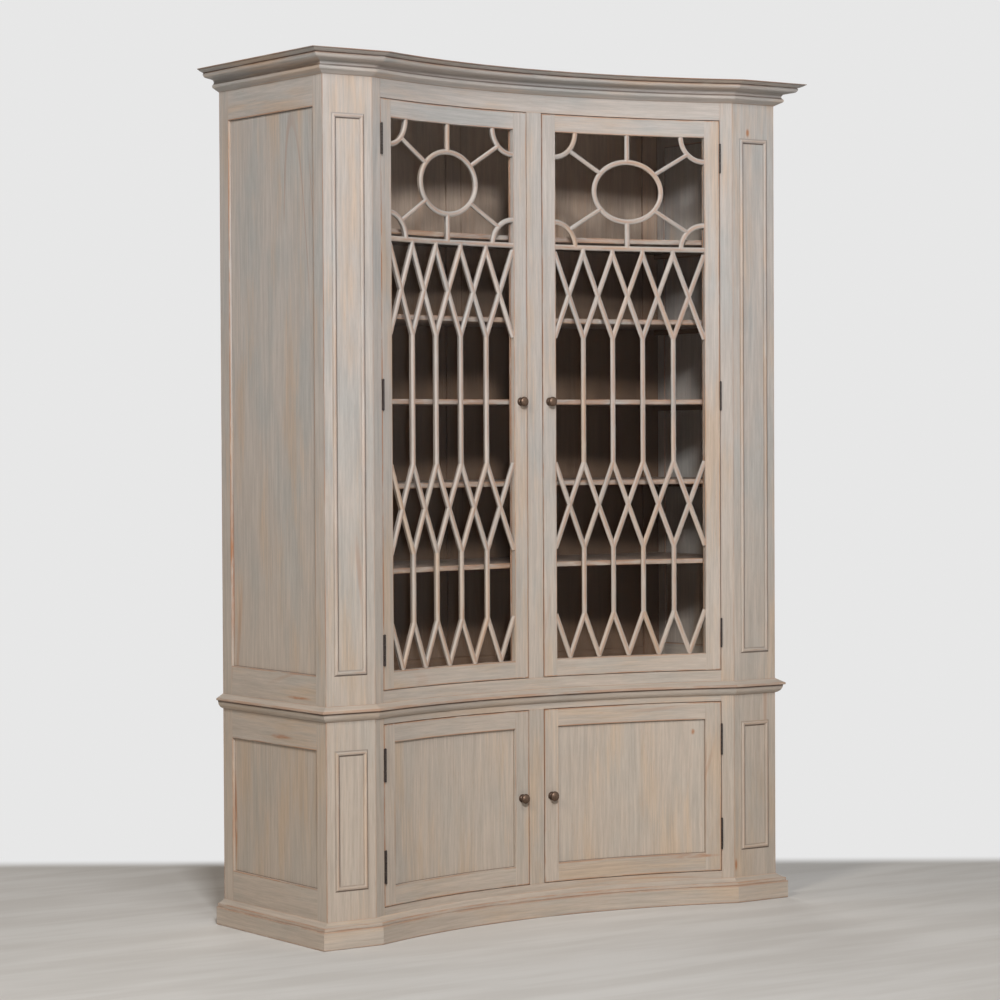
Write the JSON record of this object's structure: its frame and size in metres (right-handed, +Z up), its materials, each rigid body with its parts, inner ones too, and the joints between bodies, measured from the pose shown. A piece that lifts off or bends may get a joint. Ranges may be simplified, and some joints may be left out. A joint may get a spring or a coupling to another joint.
{
  "type": "display cabinet",
  "caption": "Tall limed-wood display cabinet with a concave front: glazed lattice doors over panelled cupboard doors, flat pilasters, stepped cornice and plinth.",
  "frame": {"origin": "on the floor, midway across the width and midway between the back and the front of the cornice", "axes": "+X to the viewer's right when facing the doors, +Y from the doors to the back, +Z up"},
  "size_m": [1.7, 0.6201, 2.4],
  "materials": {
    "limed_wood": "limed, weathered, matt",
    "inner_wood": "dark stained, matt",
    "glass": "clear",
    "aged_bronze": "aged, satin",
    "dark_iron": "dark, satin",
    "catch_steel": "brown, satin"
  },
  "bodies": {
    "carcass": {"plinth_boards": "limed_wood", "plinth_cap_moulding": "limed_wood", "base_bottom_board": "inner_wood", "base_side_frame_left": "limed_wood", "base_side_frame_right": "limed_wood", "base_side_panels": "limed_wood", "base_pilasters": "limed_wood", "base_pilaster_beads": "limed_wood", "base_face_frame": "limed_wood", "base_shelf": "inner_wood", "base_shelf_battens": "inner_wood", "base_back_panel": "inner_wood", "base_top_board": "inner_wood", "waist_moulding": "limed_wood", "upper_bottom_board": "inner_wood", "upper_side_frame_left": "limed_wood", "upper_side_frame_right": "limed_wood", "upper_side_panels": "limed_wood", "upper_pilasters": "limed_wood", "upper_pilaster_beads": "limed_wood", "upper_face_frame": "limed_wood", "upper_shelf_1": "limed_wood", "upper_shelf_2": "limed_wood", "upper_shelf_3": "limed_wood", "upper_shelf_4": "limed_wood", "upper_shelf_5": "limed_wood", "upper_shelf_battens": "inner_wood", "upper_back_frame": "inner_wood", "upper_back_panels": "inner_wood", "upper_top_board": "limed_wood", "cornice_moulding": "limed_wood", "hinge_frame_leaves": "dark_iron", "hinge_pins": "dark_iron", "door_catches": "catch_steel"},
    "upper_left_door": {"upper_door_left_stiles": "limed_wood", "upper_door_left_rails": "limed_wood", "upper_door_left_glazing_bars": "limed_wood", "upper_door_left_glass": "glass", "upper_door_left_glazing_beads": "limed_wood", "upper_door_left_fittings": "aged_bronze"},
    "lower_left_door": {"lower_door_left_stiles": "limed_wood", "lower_door_left_rails": "limed_wood", "lower_door_left_panel": "limed_wood", "lower_door_left_fittings": "aged_bronze"},
    "upper_right_door": {"upper_door_right_stiles": "limed_wood", "upper_door_right_rails": "limed_wood", "upper_door_right_glazing_bars": "limed_wood", "upper_door_right_glass": "glass", "upper_door_right_glazing_beads": "limed_wood", "upper_door_right_fittings": "aged_bronze"},
    "lower_right_door": {"lower_door_right_stiles": "limed_wood", "lower_door_right_rails": "limed_wood", "lower_door_right_panel": "limed_wood", "lower_door_right_fittings": "aged_bronze"}
  },
  "joints": [
    {"name": "upper_left_door_hinge", "type": "hinge", "parent": "carcass", "child": "upper_left_door", "pos_m": [-0.5852, -0.23024, 1.484], "axis": [0, 0, 1], "range_deg": [-150, 0]},
    {"name": "upper_right_door_hinge", "type": "hinge", "parent": "carcass", "child": "upper_right_door", "pos_m": [0.5852, -0.23024, 1.484], "axis": [0, 0, 1], "range_deg": [0, 150]},
    {"name": "lower_left_door_hinge", "type": "hinge", "parent": "carcass", "child": "lower_left_door", "pos_m": [-0.5852, -0.23024, 0.3415], "axis": [0, 0, 1], "range_deg": [-150, 0]},
    {"name": "lower_right_door_hinge", "type": "hinge", "parent": "carcass", "child": "lower_right_door", "pos_m": [0.5852, -0.23024, 0.3415], "axis": [0, 0, 1], "range_deg": [0, 150]}
  ]
}
